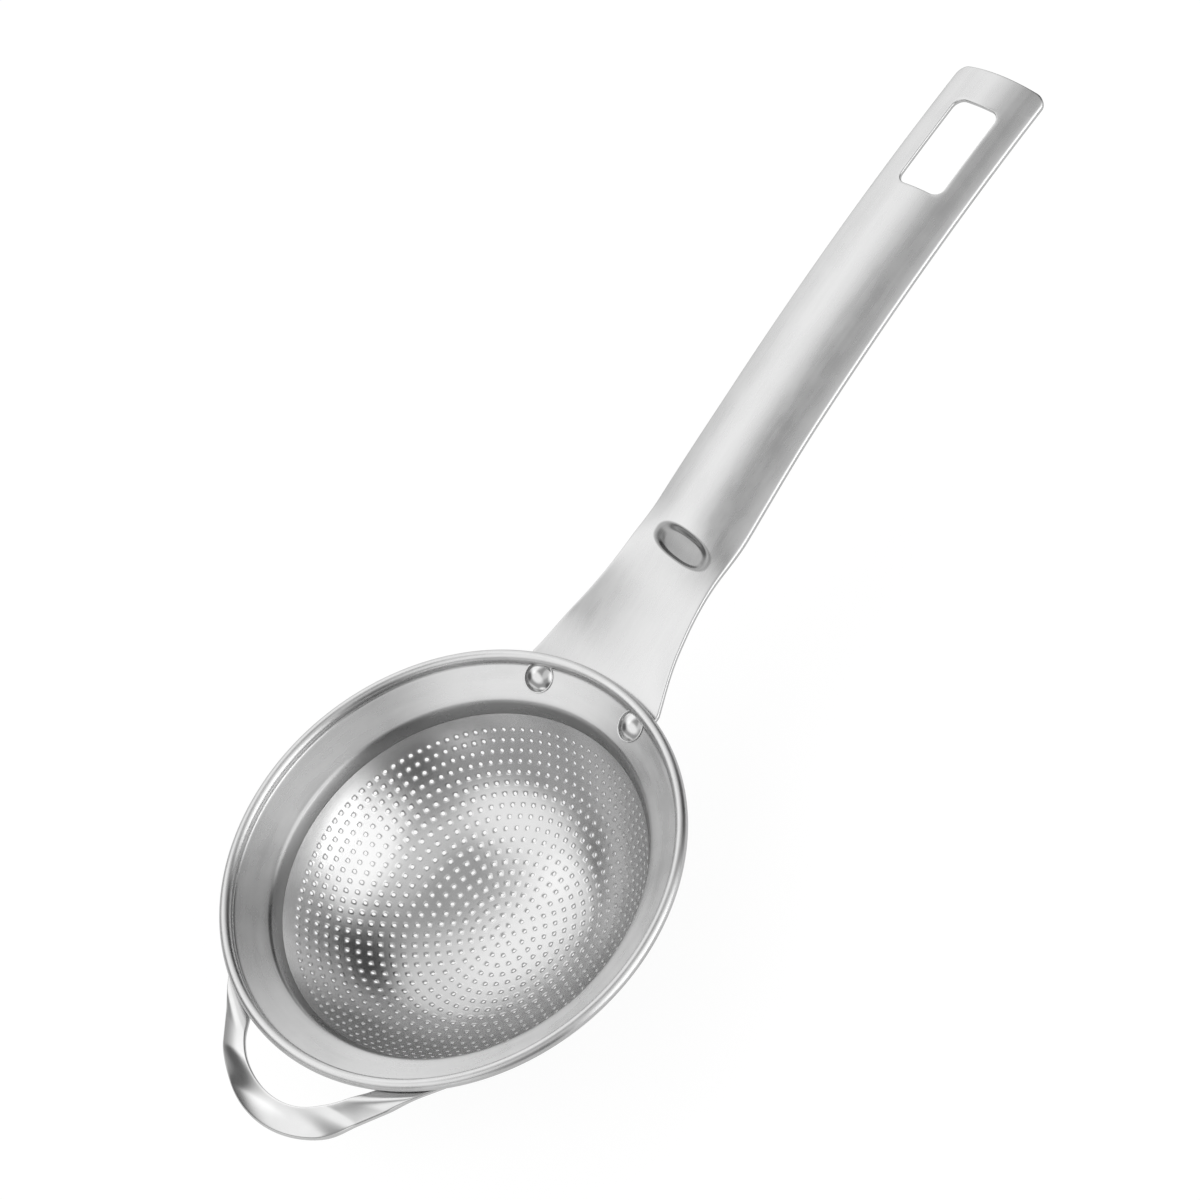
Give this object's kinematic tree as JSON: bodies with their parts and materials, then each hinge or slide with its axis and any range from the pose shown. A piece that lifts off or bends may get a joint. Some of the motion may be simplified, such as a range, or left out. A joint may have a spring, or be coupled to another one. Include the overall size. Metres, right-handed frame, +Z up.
{
  "type": "tea strainer",
  "caption": "Round metal tea strainer: perforated bowl under a sloped collar with a rolled bead, long bowed handle on rivets with a hanging slot, and a flat helper loop opposite.",
  "frame": {"origin": "centre of the rim: the middle of the rolled bead's height, on the bowl's axis", "axes": "+X runs from the bowl's axis along the handle, +Z is up out of the bowl's mouth, +Y is to the left of the handle seen from the bowl"},
  "size_m": [0.2376, 0.09, 0.0427],
  "materials": {
    "collar_steel": "fine brushing round the ring, bright rolled bead",
    "bowl_steel": "soft satin, perforated all over",
    "handle_steel": "fine brushing along the handle, smooth at the neck",
    "rivet_steel": "smooth, nearly polished dome",
    "loop_steel": "smooth satin"
  },
  "bodies": {
    "root": {"collar_ring": "collar_steel", "perforated_bowl": "bowl_steel", "handle": "handle_steel", "rivet_left": "rivet_steel", "rivet_right": "rivet_steel", "helper_loop": "loop_steel"}
  },
  "joints": []
}
